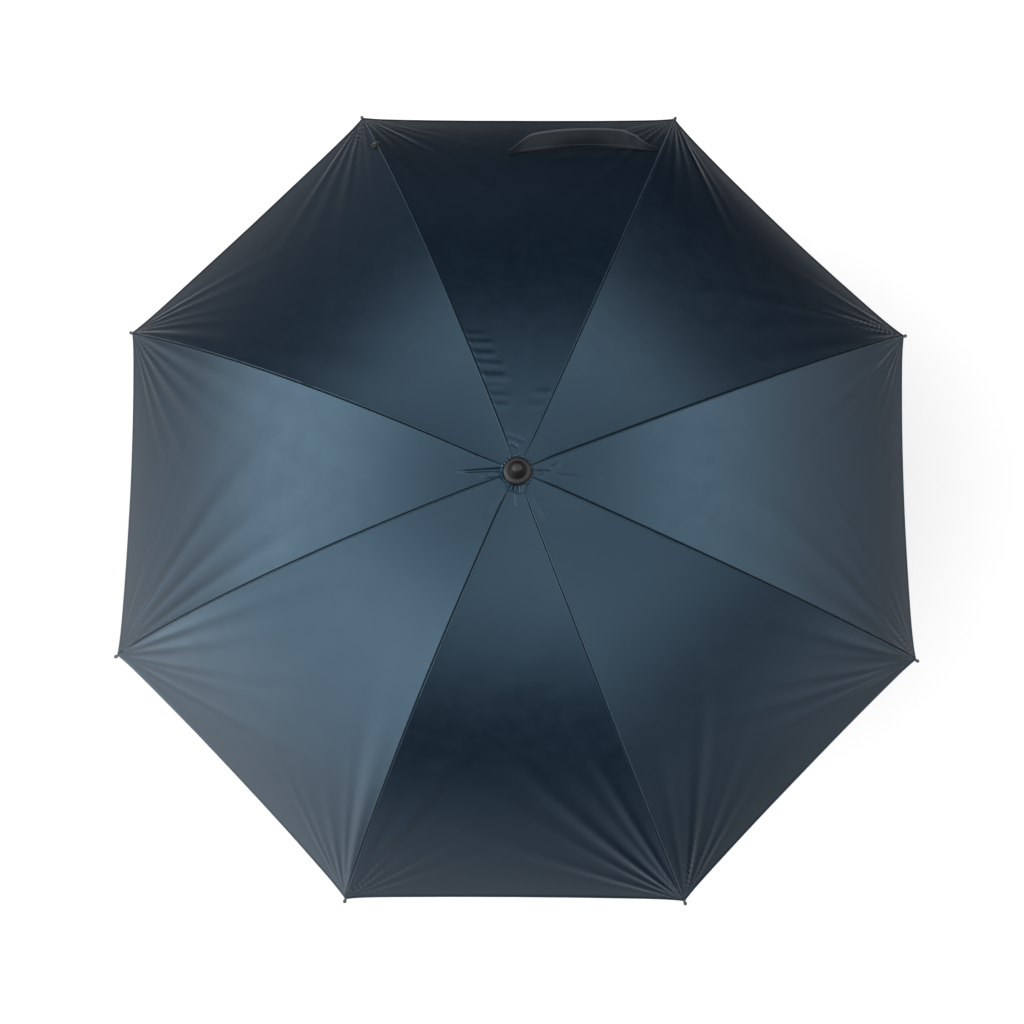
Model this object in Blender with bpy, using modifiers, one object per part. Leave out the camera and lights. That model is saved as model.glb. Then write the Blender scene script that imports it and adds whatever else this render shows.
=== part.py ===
"""An open stick umbrella: eight two-part ribs under a sewn canopy, a sliding runner and a crook handle.

+Z runs up the shaft to the ferrule, and the origin is on the shaft's axis in the middle of the grip.
Every rib stands in its own upright plane. Its pieces are drawn in that plane, x outwards from the
shaft, y across the rib and z up, and are then turned about the shaft to their place.
"""

import math

import bmesh
import bpy
from mathutils import Matrix, Vector

# Driving dimensions, in metres and degrees.
RIBS = 8
FIRST_RIB_DEG = 22.5  # azimuth of rib 1
SPREAD = 0.520  # shaft axis to a corner of the canopy
RISE = 0.195  # height of the dome over its corners
DOME_POWER = 2.28  # how flat the dome is at the crown
CROWN_Z = 0.668  # the ribs' hinges above the middle of the grip
HINGE_R = 0.0105  # shaft axis to the hinges, at the crown and at the runner
STRETCHER_AT = 0.270  # where along the rib its stretcher holds it
FLEX_AT = 0.283  # where the steel half of a rib hands over to the fibreglass half
ROD_END = 0.514  # where the fibreglass ends and the tip begins
CLOTH = 0.0008  # canopy thickness
CLOTH_OVER_HINGES = 0.0034
RIB_UNDER_CLOTH = 0.0032  # middle of the rib under the middle of the cloth
PIVOT_UNDER_RIB = 0.0060  # stretcher pivot under the middle of the rib
PANEL_SAG = 0.018  # how far a panel dips between its ribs, as a share of its width there
HEM_INSET = 0.008  # how far the hem curves in half way between the ribs, as a share of the spread
HEM_TAUT = 0.6  # share of that dip that is gone at the hem, which is pulled tight
GAP = 0.0003  # between pieces that lie on each other
RUN = 0.0003  # play round a pin or wire

SHAFT_R = 0.0050
TUBE_WALL = 0.0007
HUB_R = 0.0128  # crown and runner head
CHANNEL_W = 0.0034  # folded steel of ribs and stretchers
CHANNEL_H = 0.0033
CHANNEL_WALL = 0.00055
BLADE = 0.0012  # thickness of the flattened eyes
SLOT = 0.0019  # width of the slots that they turn in
EYE_R = 0.0020
WIRE_R = 0.0006
PIN_R = 0.00075
ROD_R = 0.0016  # fibreglass at its root
ROD_TIP_R = 0.0012
BALL_R = 0.0019

SLEEVE_TOP = -0.0073  # runner sleeve, from the runner's hinges
SLEEVE_BOTTOM = -0.0460
WINDOW = (-0.0420, -0.0180)  # the sleeve's window, where the bottom catch comes through
CATCH_LENGTH = 0.030
CATCH_THICK = 0.0016
CATCH_AZIMUTH_DEG = 270.0
CLOSED_DEG = 88.3  # a folded rib's angle below the horizontal

GRIP_TOP = 0.060
GRIP_R = 0.0102
CROOK_R = 0.033  # bend radius of the crook's middle line
CROOK_DROP = 0.060  # the bend starts this far below the origin
CROOK_END = 0.018  # straight run after the bend
COLLAR_TOP = 0.078
SHAFT_BOTTOM = 0.012
SHAFT_OVER_HINGES = 0.016
FERRULE_TOP = 0.031

STRAP_W = 0.020
STRAP_THICK = 0.0010
STRAP_AT = 0.832  # of its two ends, along the rib, as a share of the spread
STRAP_BOW_AT = 0.845  # of its middle
STRAP_END = 0.085  # its free end, across the panel from -1 at this rib to 1 at the next
STRAP_RIB = 2
STUD_AT = 0.852
STUD_RIB = 3

ROUND = 24  # sides of a turned piece
COLOURS = {
    "cloth": ((0.030, 0.052, 0.078), 0.55, 0.0),
    "black_plastic": ((0.020, 0.020, 0.022), 0.35, 0.0),
    "tip_plastic": ((0.050, 0.053, 0.058), 0.40, 0.0),
    "handle_rubber": ((0.025, 0.024, 0.024), 0.55, 0.0),
    "steel": ((0.62, 0.62, 0.60), 0.30, 1.0),
    "black_steel": ((0.055, 0.055, 0.060), 0.38, 1.0),
    "fibreglass": ((0.030, 0.030, 0.032), 0.30, 0.0),
    "chrome": ((0.80, 0.80, 0.80), 0.12, 1.0),
}


# ---------------------------------------------------------------- helpers


def clear_scene():
    for obj in list(bpy.data.objects):
        bpy.data.objects.remove(obj)


def collection(name):
    made = bpy.data.collections.new(name)
    bpy.context.scene.collection.children.link(made)
    return made


def material(name):
    found = bpy.data.materials.get(name)
    if found:
        return found
    colour, roughness, metallic = COLOURS[name]
    made = bpy.data.materials.new(name)
    made.use_nodes = True
    shader = made.node_tree.nodes["Principled BSDF"]
    shader.inputs["Base Color"].default_value = (*colour, 1.0)
    shader.inputs["Roughness"].default_value = roughness
    shader.inputs["Metallic"].default_value = metallic
    return made


def scratch(name, data):
    """An object for a step of the work, outside the parts' collection."""
    obj = bpy.data.objects.new(name, data)
    bpy.context.scene.collection.objects.link(obj)
    return obj


def evaluated(obj):
    """The object's mesh with its modifiers or bevel applied. The object is removed."""
    bpy.context.view_layer.update()
    graph = bpy.context.evaluated_depsgraph_get()
    mesh = bpy.data.meshes.new_from_object(obj.evaluated_get(graph))
    mesh.transform(obj.matrix_world)
    bpy.data.objects.remove(obj)
    return mesh


def weld(mesh):
    work = bmesh.new()
    work.from_mesh(mesh)
    bmesh.ops.remove_doubles(work, verts=work.verts, dist=1e-6)
    bmesh.ops.recalc_face_normals(work, faces=work.faces)
    work.to_mesh(mesh)
    work.free()
    return mesh


def combine(mesh, other, operation):
    """mesh joined with, or cut by, another mesh."""
    base, tool = scratch("base", mesh), scratch("tool", other)
    tool.hide_render = True
    tool.display_type = "WIRE"
    step = base.modifiers.new("step", "BOOLEAN")
    step.operation = operation
    step.solver = "EXACT"
    step.object = tool
    made = evaluated(base)
    bpy.data.objects.remove(tool)
    return made


def turned(profile, steps=ROUND, closed=True):
    """A body turned about Z. The profile is (radius, height), down the outer side first."""
    mesh = bpy.data.meshes.new("profile")
    edges = [(i, i + 1) for i in range(len(profile) - 1)]
    if closed:
        edges.append((len(profile) - 1, 0))
    mesh.from_pydata([(r, 0.0, z) for r, z in profile], edges, [])
    obj = scratch("profile", mesh)
    screw = obj.modifiers.new("turn", "SCREW")
    screw.steps = screw.render_steps = steps
    screw.use_merge_vertices = True
    screw.merge_threshold = 1e-6
    screw.use_smooth_shade = True
    return evaluated(obj)


def plate(outlines, thick):
    """A flat plate in the XZ plane. The first outline is its edge, and the others are holes."""
    flat = bpy.data.curves.new("outline", "CURVE")
    flat.dimensions = "2D"
    flat.fill_mode = "BOTH"
    flat.extrude = thick / 2
    for outline in outlines:
        spline = flat.splines.new("POLY")
        spline.points.add(len(outline) - 1)
        for point, (x, z) in zip(spline.points, outline):
            point.co = (x, z, 0.0, 1.0)
        spline.use_cyclic_u = True
    obj = scratch("outline", flat)
    obj.rotation_euler = (math.pi / 2, 0.0, 0.0)
    return weld(evaluated(obj))


def tube(points, radii, resolution=2):
    """A round rod or handle along points, with a radius at each."""
    line = bpy.data.curves.new("line", "CURVE")
    line.dimensions = "3D"
    line.bevel_depth = 1.0
    line.bevel_resolution = resolution
    line.use_fill_caps = True
    spline = line.splines.new("POLY")
    spline.points.add(len(points) - 1)
    for point, place, radius in zip(spline.points, points, radii):
        point.co = (*place, 1.0)
        point.radius = radius
    return weld(evaluated(scratch("line", line)))


def channel(path, up):
    """Folded steel of U section along a path in the XZ plane. up is +1 if the web is on top, or -1."""
    w, h, inner = CHANNEL_W / 2, CHANNEL_H / 2, CHANNEL_W / 2 - CHANNEL_WALL
    under = h - CHANNEL_WALL
    section = [(-w, -h), (-inner, -h), (-inner, under), (inner, under), (inner, -h), (w, -h), (w, h), (-w, h)]
    work = bmesh.new()
    rings = []
    for i, (x, z) in enumerate(path):
        before, after = path[max(i - 1, 0)], path[min(i + 1, len(path) - 1)]
        lean = math.atan2(after[1] - before[1], after[0] - before[0])
        ring = []
        for across, high in section:
            high *= up
            ring.append(work.verts.new((x - high * math.sin(lean), across, z + high * math.cos(lean))))
        rings.append(ring)
    for first, second in zip(rings, rings[1:]):
        for i in range(len(section)):
            j = (i + 1) % len(section)
            work.faces.new((first[i], first[j], second[j], second[i]))
    work.faces.new(rings[0])
    work.faces.new(rings[-1])
    bmesh.ops.recalc_face_normals(work, faces=work.faces)
    mesh = bpy.data.meshes.new("channel")
    work.to_mesh(mesh)
    work.free()
    return mesh


def block(low, high):
    """A box between two corners."""
    work = bmesh.new()
    size = [b - a for a, b in zip(low, high)]
    middle = [(a + b) / 2 for a, b in zip(low, high)]
    bmesh.ops.create_cube(work, size=1.0, matrix=Matrix.Translation(middle) @ Matrix.Diagonal((*size, 1.0)))
    mesh = bpy.data.meshes.new("block")
    work.to_mesh(mesh)
    work.free()
    return mesh


def cylinder_across(x, z, radius, length, sides=10):
    """A pin along y."""
    work = bmesh.new()
    place = Matrix.Translation((x, 0.0, z)) @ Matrix.Rotation(math.pi / 2, 4, "X")
    bmesh.ops.create_cone(
        work, cap_ends=True, segments=sides, radius1=radius, radius2=radius, depth=length, matrix=place
    )
    mesh = bpy.data.meshes.new("pin")
    work.to_mesh(mesh)
    work.free()
    return mesh


def arc(x, z, radius, start_deg, end_deg, pieces):
    """Points along an arc, both ends included."""
    angles = [math.radians(start_deg + (end_deg - start_deg) * i / pieces) for i in range(pieces + 1)]
    return [(x + radius * math.cos(a), z + radius * math.sin(a)) for a in angles]


def circle(x, z, radius, pieces=10):
    return arc(x, z, radius, 0, 360, pieces)[:-1]


def place(name, mesh, finish, parts, location=(0, 0, 0), turn_deg=0.0, smooth_deg=40.0):
    """One named sub-part in the parts' collection."""
    if not mesh.materials:
        mesh.materials.append(material(finish))
        mesh.shade_smooth()
        mesh.set_sharp_from_angle(angle=math.radians(smooth_deg))
    mesh.name = name
    obj = bpy.data.objects.new(name, mesh)
    obj.location = location
    obj.rotation_euler = (0.0, 0.0, math.radians(turn_deg))
    parts.objects.link(obj)
    return obj


# ---------------------------------------------------------------- the rib's line and its linkage


def rib_deg(number):
    return FIRST_RIB_DEG + 360.0 / RIBS * (number - 1)


def cloth_height(r):
    """Middle of the cloth along a rib, above the hinges."""
    return CLOTH_OVER_HINGES - RISE * (r / SPREAD) ** DOME_POWER


def cloth_lean(r):
    """Angle of the cloth along a rib: 0 is level, and negative falls outwards."""
    return math.atan(-RISE * DOME_POWER / SPREAD * (r / SPREAD) ** (DOME_POWER - 1))


def under_cloth(r, below):
    """(x, z) of a point square under the cloth, x from the shaft's axis and z from the hinges."""
    lean = cloth_lean(r)
    return r + below * math.sin(lean), cloth_height(r) - below * math.cos(lean)


def rib_path(start, end, pieces):
    """Points along the middle of a rib."""
    return [under_cloth(start + (end - start) * i / pieces, RIB_UNDER_CLOTH) for i in range(pieces + 1)]


def stretcher_pivot():
    return under_cloth(STRETCHER_AT, RIB_UNDER_CLOTH + PIVOT_UNDER_RIB)


def link_length():
    """Hinge to stretcher pivot. The stretcher is as long, so the runner stays upright as it slides."""
    x, z = stretcher_pivot()
    return math.hypot(x - HINGE_R, z)


def open_lean():
    """How far the line from the hinge to the stretcher pivot falls when the umbrella is open."""
    x, z = stretcher_pivot()
    return math.atan2(-z, x - HINGE_R)


def runner_z():
    """The runner's hinges when the umbrella is open."""
    return CROWN_Z + 2 * stretcher_pivot()[1]


def closed_runner_z():
    return CROWN_Z - 2 * link_length() * math.sin(math.radians(CLOSED_DEG))


# ---------------------------------------------------------------- shaft, crown and top


def catch_slot(shoulder, towards_end):
    """The hole in the shaft that a catch stands out of, on the side that faces +X."""
    ends = sorted((shoulder - towards_end * 0.0008, shoulder + towards_end * (CATCH_LENGTH - 0.002)))
    half = CATCH_THICK / 2 + RUN + 0.0001
    slot = block((0.0025, -half, ends[0]), (SHAFT_R + 0.001, half, ends[1]))
    slot.transform(Matrix.Rotation(math.radians(CATCH_AZIMUTH_DEG), 4, "Z"))
    return slot


def top_shoulder():
    """The open runner rests on this height."""
    return runner_z() + SLEEVE_BOTTOM - 0.0004


def bottom_shoulder():
    """The closed runner's window is held under this height."""
    return closed_runner_z() + WINDOW[0] + 0.0004


def shaft_mesh():
    low, high, inner = SHAFT_BOTTOM, CROWN_Z + SHAFT_OVER_HINGES, SHAFT_R - TUBE_WALL
    mesh = turned([(SHAFT_R, high), (SHAFT_R, low), (inner, low), (inner, high)])
    mesh = combine(mesh, catch_slot(top_shoulder(), -1), "DIFFERENCE")
    return combine(mesh, catch_slot(bottom_shoulder(), 1), "DIFFERENCE")


def hub_mesh(top, bottom, foot=None):
    """The crown or the runner head: a disc with a wire groove and a slot for each hinge."""
    bore, groove_in, groove_out = SHAFT_R + RUN, HINGE_R - 0.0009, HINGE_R + 0.0009
    profile = [(HUB_R, top), (HUB_R, bottom)]
    if foot:
        profile += [(foot[0], bottom), (foot[0], foot[1])]
    profile += [(bore, profile[-1][1]), (bore, top), (groove_in, top), (groove_in, -0.0009)]
    profile += [(groove_out, -0.0009), (groove_out, top)]
    mesh = turned(profile)
    for number in range(1, RIBS + 1):
        low, high = (HINGE_R - EYE_R - 0.0006, -SLOT / 2, bottom - 0.001), (HUB_R + 0.001, SLOT / 2, top + 0.001)
        slot = block(low, high)
        if foot:
            slot = block((low[0], low[1], bottom + 0.0002), high)
        slot.transform(Matrix.Rotation(math.radians(rib_deg(number)), 4, "Z"))
        mesh = combine(mesh, slot, "DIFFERENCE")
    return mesh


def wire_mesh():
    """The wire ring that the hinges of the ribs, or of the stretchers, are threaded on."""
    work = bmesh.new()
    ring = circle(HINGE_R, 0.0, WIRE_R, 6)
    mesh = turned(list(reversed(ring)), ROUND)
    work.from_mesh(mesh)
    bmesh.ops.recalc_face_normals(work, faces=work.faces)
    work.to_mesh(mesh)
    work.free()
    return mesh


def cap_mesh():
    top, bottom, rim = 0.0096, 0.0061, 0.0140
    edge = [(SHAFT_R + RUN, top), (0.0098, top), (0.0124, top - 0.0007), (rim - 0.0003, top - 0.0019)]
    return turned(edge + [(rim, bottom + 0.0008), (rim - 0.0005, bottom), (SHAFT_R + RUN, bottom)])


def ferrule_mesh():
    """The blunt finial, with a blind hole for the end of the shaft."""
    bore, base, hole_top = SHAFT_R + RUN, 0.0099, SHAFT_OVER_HINGES + GAP
    top = FERRULE_TOP
    outer = [(0.0, top), (0.0028, top), (0.0048, top - 0.0010), (0.0057, top - 0.0030), (0.0062, top - 0.0070)]
    outer += [(0.0069, top - 0.0110), (0.0079, top - 0.0145), (0.0088, base + 0.0030), (0.0092, base)]
    return turned(outer + [(bore, base), (bore, hole_top), (0.0, hole_top)], closed=False)


def rosette_mesh():
    """The gathered disc of cloth between the cap and the canopy."""
    return turned([(0.0060, 0.0056), (0.0185, 0.0053), (0.0190, 0.0048), (0.0185, 0.0044), (0.0060, 0.0044)])


# ---------------------------------------------------------------- ribs, tips and stretchers


def eye_blade(low, high, hole):
    """A flattened end: an eye round the hinge, and a tongue that runs into the channel."""
    tongue = 0.0090
    outline = arc(0.0, 0.0, EYE_R, 90, 270, 6) + [(tongue, low), (tongue, high)]
    return plate([outline, circle(0.0, 0.0, hole)], BLADE)


def rib_inner_mesh():
    """The steel half of a rib, from its eye at the crown to just short of the fibreglass."""
    start, end = HINGE_R + 0.0055, FLEX_AT - 0.0024
    half = CHANNEL_H / 2
    mesh = channel([(x - HINGE_R, z) for x, z in rib_path(start, end, 9)], 1)
    top = under_cloth(start, RIB_UNDER_CLOTH)[1] + half
    mesh = combine(mesh, eye_blade(-0.0010, top - 0.0002, WIRE_R + RUN), "UNION")
    x, z = stretcher_pivot()
    tab = 0.0022
    reach = PIVOT_UNDER_RIB + half - 0.0002
    outline = arc(0.0, 0.0, tab, 180, 360, 6) + [(tab, reach), (-tab, reach)]
    bracket = plate([outline, circle(0.0, 0.0, PIN_R + RUN)], BLADE)
    bracket.transform(Matrix.Rotation(-cloth_lean(STRETCHER_AT), 4, "Y"))
    bracket.transform(Matrix.Translation((x - HINGE_R, 0.0, z)))
    return combine(mesh, bracket, "UNION")


def rib_outer_mesh():
    """The fibreglass half: a ball root, then a rod that tapers to the tip. Its origin is the ball's centre."""
    x0, z0 = under_cloth(FLEX_AT, RIB_UNDER_CLOTH)
    lean = cloth_lean(FLEX_AT)
    points, radii = [], []
    for angle in (20, 45, 70, 95, 120):
        along = -BALL_R * math.cos(math.radians(angle))
        points.append((along * math.cos(lean), 0.0, along * math.sin(lean)))
        radii.append(BALL_R * math.sin(math.radians(angle)))
    pieces = 9
    for i, (x, z) in enumerate(rib_path(FLEX_AT + 0.006, ROD_END, pieces)):
        points.append((x - x0, 0.0, z - z0))
        radii.append(ROD_R + (ROD_TIP_R - ROD_R) * i / pieces)
    return tube(points, radii)


def rib_tip_mesh():
    """The plastic cap on the end of a rib, turned about the rib's own line."""
    length, collar, shank, bulb = 0.0205, 0.0019, 0.0014, 0.0020
    profile = [(0.0, length), (0.0012, length - 0.0003), (bulb, length - 0.0014), (bulb, length - 0.0026)]
    profile += [(shank, length - 0.0044), (shank, 0.0032), (collar, 0.0022), (collar, 0.0), (0.0, 0.0)]
    mesh = turned(profile, 10, closed=False)
    lean = cloth_lean(ROD_END)
    mesh.transform(Matrix.Rotation(math.pi / 2 - lean, 4, "Y"))
    x0, z0 = under_cloth(FLEX_AT, RIB_UNDER_CLOTH)
    x, z = under_cloth(ROD_END, RIB_UNDER_CLOTH)
    x, z = x + 0.0004 * math.cos(lean), z + 0.0004 * math.sin(lean)
    mesh.transform(Matrix.Translation((x - x0, 0.0, z - z0)))
    return mesh


def stretcher_mesh():
    """Eye at the runner, folded steel, and a fork with its rivet at the rib. Its origin is the rivet."""
    length, half = link_length(), CHANNEL_H / 2
    mesh = channel([(0.0055, 0.0), (length / 2, 0.0), (length + 0.0022, 0.0)], -1)
    mesh = combine(mesh, eye_blade(0.0002 - half, 0.0010, WIRE_R + RUN), "UNION")
    inside = CHANNEL_W / 2 - CHANNEL_WALL + 0.0001
    web = block((length - 0.0032, -inside, -half - 0.001), (length + 0.003, inside, half + 0.001))
    mesh = combine(mesh, web, "DIFFERENCE")
    mesh = combine(mesh, cylinder_across(length, 0.0, PIN_R, CHANNEL_W + 0.0006), "UNION")
    mesh.transform(Matrix.Translation((-length, 0.0, 0.0)))
    mesh.transform(Matrix.Rotation(-open_lean(), 4, "Y"))
    return mesh


# ---------------------------------------------------------------- runner and catches


def sleeve_mesh():
    bore, wall, rim = SHAFT_R + RUN, 0.0072, 0.0084
    profile = [(wall, SLEEVE_TOP), (wall, SLEEVE_BOTTOM + 0.0030), (rim, SLEEVE_BOTTOM + 0.0020)]
    profile += [(rim, SLEEVE_BOTTOM), (bore, SLEEVE_BOTTOM), (bore, SLEEVE_TOP)]
    mesh = turned(profile)
    half = CATCH_THICK / 2 + 0.0007
    window = block((0.0030, -half, WINDOW[0]), (rim + 0.001, half, WINDOW[1]))
    window.transform(Matrix.Rotation(math.radians(CATCH_AZIMUTH_DEG), 4, "Z"))
    return combine(mesh, window, "DIFFERENCE")


def catch_mesh(up):
    """A flat spring with a wedge nose. Its origin is the foot that it bends at; up is where the nose points."""
    foot_in, foot_out, nose, top = -0.0008, 0.0008, 0.0051, CATCH_LENGTH - 0.0010
    outline = [(foot_in, -0.0010), (foot_out, -0.0010), (foot_out, 0.0020), (nose, top - 0.0012)]
    outline += [(nose - 0.0002, top), (0.0002, top), (-0.0004, top - 0.0040), (foot_in, 0.0030)]
    mesh = plate([[(x, z * up) for x, z in outline]], CATCH_THICK)
    return weld(mesh)


def catch_foot(shoulder, up):
    """Where a catch is fixed inside the shaft."""
    azimuth, r = math.radians(CATCH_AZIMUTH_DEG), 0.0031
    return (r * math.cos(azimuth), r * math.sin(azimuth), shoulder - up * (CATCH_LENGTH - 0.0010))


def stop_ring_mesh():
    """The ring on the shaft that stops the opened runner."""
    low = runner_z() - CROWN_Z + 0.0030
    bore, rim = SHAFT_R + RUN, 0.0074
    return turned([(rim, low + 0.0030), (rim, low), (bore, low), (bore, low + 0.0030)])


# ---------------------------------------------------------------- handle


def handle_mesh():
    """The crook: a straight grip, a half circle and a short rise to a rounded end, bored for the shaft."""
    points = [(0.0, 0.0, GRIP_TOP - GRIP_TOP * 2 * i / 4) for i in range(4)]
    for i in range(15):
        angle = math.pi + math.pi * i / 14
        points.append((CROOK_R + CROOK_R * math.cos(angle), 0.0, -CROOK_DROP + CROOK_R * math.sin(angle)))
    radii = [GRIP_R] * len(points)
    end = 0.0092
    for share, shrink in ((0.5, 1.0), (0.8, 1.0), (0.93, 0.88), (1.0, 0.55)):
        points.append((2 * CROOK_R, 0.0, -CROOK_DROP + CROOK_END * share))
        radii.append(end * shrink)
    mesh = tube(points, radii, 5)
    bore = turned([(0.0, GRIP_TOP + 0.001), (SHAFT_R + RUN, GRIP_TOP + 0.001)]
                  + [(SHAFT_R + RUN, SHAFT_BOTTOM - GAP), (0.0, SHAFT_BOTTOM - GAP)], closed=False)
    return combine(mesh, bore, "DIFFERENCE")


def collar_mesh():
    low, high, bore = GRIP_TOP + GAP, COLLAR_TOP, SHAFT_R + RUN
    profile = [(0.0066, high), (0.0078, high - 0.0012), (0.0098, low + 0.0050), (0.0106, low + 0.0036)]
    return turned(profile + [(0.0106, low), (bore, low), (bore, high)])


# ---------------------------------------------------------------- canopy, strap and stud


def panel_point(number, along, across):
    """A point in the middle of the cloth. across runs from -1 at this rib to 1 at the next."""
    r, z = along * SPREAD, cloth_height(along * SPREAD)
    half = math.pi / RIBS
    middle = math.radians(rib_deg(number)) + half
    width = 2 * r * math.sin(half)
    hollow = 1 - across * across
    out = r * math.cos(half) - HEM_INSET * SPREAD * hollow * along**6
    side = (width / 2 - GAP) * across
    lean = cloth_lean(r)
    dip = PANEL_SAG * width * hollow * (1 - HEM_TAUT * along**6)
    out, z = out + dip * math.sin(lean), z - dip * math.cos(lean)
    x = out * math.cos(middle) - side * math.sin(middle)
    y = out * math.sin(middle) + side * math.cos(middle)
    return Vector((x, y, CROWN_Z + z))


def panel_mesh(number):
    """One gore of the canopy, from the crown to the hem between two ribs."""
    rows, columns = 10, 4
    start = 0.0070 / SPREAD
    work = bmesh.new()
    grid = []
    for i in range(rows + 1):
        along = start + (1 - start) * (i / rows) ** 0.85
        grid.append([work.verts.new(panel_point(number, along, 2 * j / columns - 1)) for j in range(columns + 1)])
    for i in range(rows):
        for j in range(columns):
            work.faces.new((grid[i][j], grid[i + 1][j], grid[i + 1][j + 1], grid[i][j + 1]))
    mesh = bpy.data.meshes.new("panel")
    work.to_mesh(mesh)
    work.free()
    obj = scratch("panel", mesh)
    thick = obj.modifiers.new("thick", "SOLIDIFY")
    thick.thickness = CLOTH
    thick.offset = 0.0
    return evaluated(obj)


def cloth_normal(number, along, across):
    step = 0.01
    down = panel_point(number, along + step, across) - panel_point(number, along - step, across)
    over = panel_point(number, along, across + step) - panel_point(number, along, across - step)
    return down.cross(over).normalized()


def strap_mesh():
    """The closing band: sewn to a seam, bowed up off the cloth, its free end resting on the panel."""
    pieces = 12
    work = bmesh.new()
    rows = []
    for i in range(pieces + 1):
        share = i / pieces
        rise = math.sin(math.pi * share)
        along = STRAP_AT + (STRAP_BOW_AT - STRAP_AT) * rise
        across = -0.985 + (STRAP_END + 0.985) * share
        spot = panel_point(STRAP_RIB, along, across)
        normal = cloth_normal(STRAP_RIB, along, across)
        downhill = (panel_point(STRAP_RIB, along + 0.01, across) - spot).normalized()
        stand = math.radians(10 + 58 * rise)
        foot = spot + normal * (0.0022 + 0.0048 * rise)
        width = downhill * math.cos(stand) + normal * math.sin(stand)
        taper = 1.0 if share < 0.93 else 0.75
        rows.append([work.verts.new(foot + width * (STRAP_W * taper * j / 2)) for j in range(3)])
    for first, second in zip(rows, rows[1:]):
        for j in range(2):
            work.faces.new((first[j], first[j + 1], second[j + 1], second[j]))
    mesh = bpy.data.meshes.new("strap")
    work.to_mesh(mesh)
    work.free()
    obj = scratch("strap", mesh)
    thick = obj.modifiers.new("thick", "SOLIDIFY")
    thick.thickness = STRAP_THICK
    thick.offset = 0.0
    return evaluated(obj)


def stud_mesh():
    """The lower half of the press stud: a flange and its knob."""
    return turned([(0.0, 0.0030), (0.0016, 0.0030), (0.0022, 0.0022), (0.0017, 0.0014), (0.0048, 0.0010)]
                  + [(0.0054, 0.0), (0.0, 0.0)], 16, closed=False)


def seam_point(number, along, above):
    """A point over a rib's seam, square above the cloth, and the seam's lean there."""
    x, z = under_cloth(along * SPREAD, -above)
    turn = math.radians(rib_deg(number))
    return (x * math.cos(turn), x * math.sin(turn), CROWN_Z + z), cloth_lean(along * SPREAD)


# ---------------------------------------------------------------- assembly


def build_middle(parts):
    crown, runner = (0.0, 0.0, CROWN_Z), (0.0, 0.0, runner_z())
    place("shaft", shaft_mesh(), "black_steel", parts)
    place("crown", hub_mesh(0.0022, -0.0040), "black_plastic", parts, crown)
    place("crown_wire", wire_mesh(), "steel", parts, crown)
    place("rosette", rosette_mesh(), "cloth", parts, crown)
    place("top_cap", cap_mesh(), "black_plastic", parts, crown)
    place("ferrule", ferrule_mesh(), "black_plastic", parts, crown)
    place("stop_ring", stop_ring_mesh(), "steel", parts, crown)
    place("runner_head", hub_mesh(0.0026, -0.0040, (0.0090, -0.0070)), "black_plastic", parts, runner)
    place("runner_wire", wire_mesh(), "steel", parts, runner)
    place("runner_sleeve", sleeve_mesh(), "black_plastic", parts, runner)
    top, bottom = catch_foot(top_shoulder(), 1), catch_foot(bottom_shoulder(), -1)
    place("top_catch", catch_mesh(1), "steel", parts, top, CATCH_AZIMUTH_DEG)
    place("bottom_catch", catch_mesh(-1), "steel", parts, bottom, CATCH_AZIMUTH_DEG)
    place("handle", handle_mesh(), "handle_rubber", parts)
    place("handle_collar", collar_mesh(), "chrome", parts)


def build_ribs(parts):
    meshes = rib_inner_mesh(), rib_outer_mesh(), rib_tip_mesh(), stretcher_mesh()
    hinge = (HINGE_R, 0.0)
    flex = under_cloth(FLEX_AT, RIB_UNDER_CLOTH)
    pivots = hinge, flex, flex, stretcher_pivot()
    names = "rib_inner", "rib_outer", "rib_tip", "stretcher"
    finishes = "black_steel", "fibreglass", "tip_plastic", "black_steel"
    for number in range(1, RIBS + 1):
        turn = math.radians(rib_deg(number))
        for name, mesh, finish, (x, z) in zip(names, meshes, finishes, pivots):
            spot = (x * math.cos(turn), x * math.sin(turn), CROWN_Z + z)
            place(f"{name}_{number}", mesh, finish, parts, spot, rib_deg(number))


def build_cloth(parts):
    for number in range(1, RIBS + 1):
        place(f"canopy_panel_{number}", panel_mesh(number), "cloth", parts, smooth_deg=60.0)
    place("tie_strap", strap_mesh(), "cloth", parts, smooth_deg=60.0)
    spot, lean = seam_point(STUD_RIB, STUD_AT, CLOTH / 2 + 0.0005)
    stud = place("strap_stud", stud_mesh(), "steel", parts, spot)
    stud.rotation_euler = (0.0, -lean, math.radians(rib_deg(STUD_RIB)))


def main():
    clear_scene()
    parts = collection("stick_umbrella")
    build_middle(parts)
    build_ribs(parts)
    build_cloth(parts)


main()
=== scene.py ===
import math

import bmesh
import bpy
import numpy as np
from mathutils import Matrix, Vector


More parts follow.
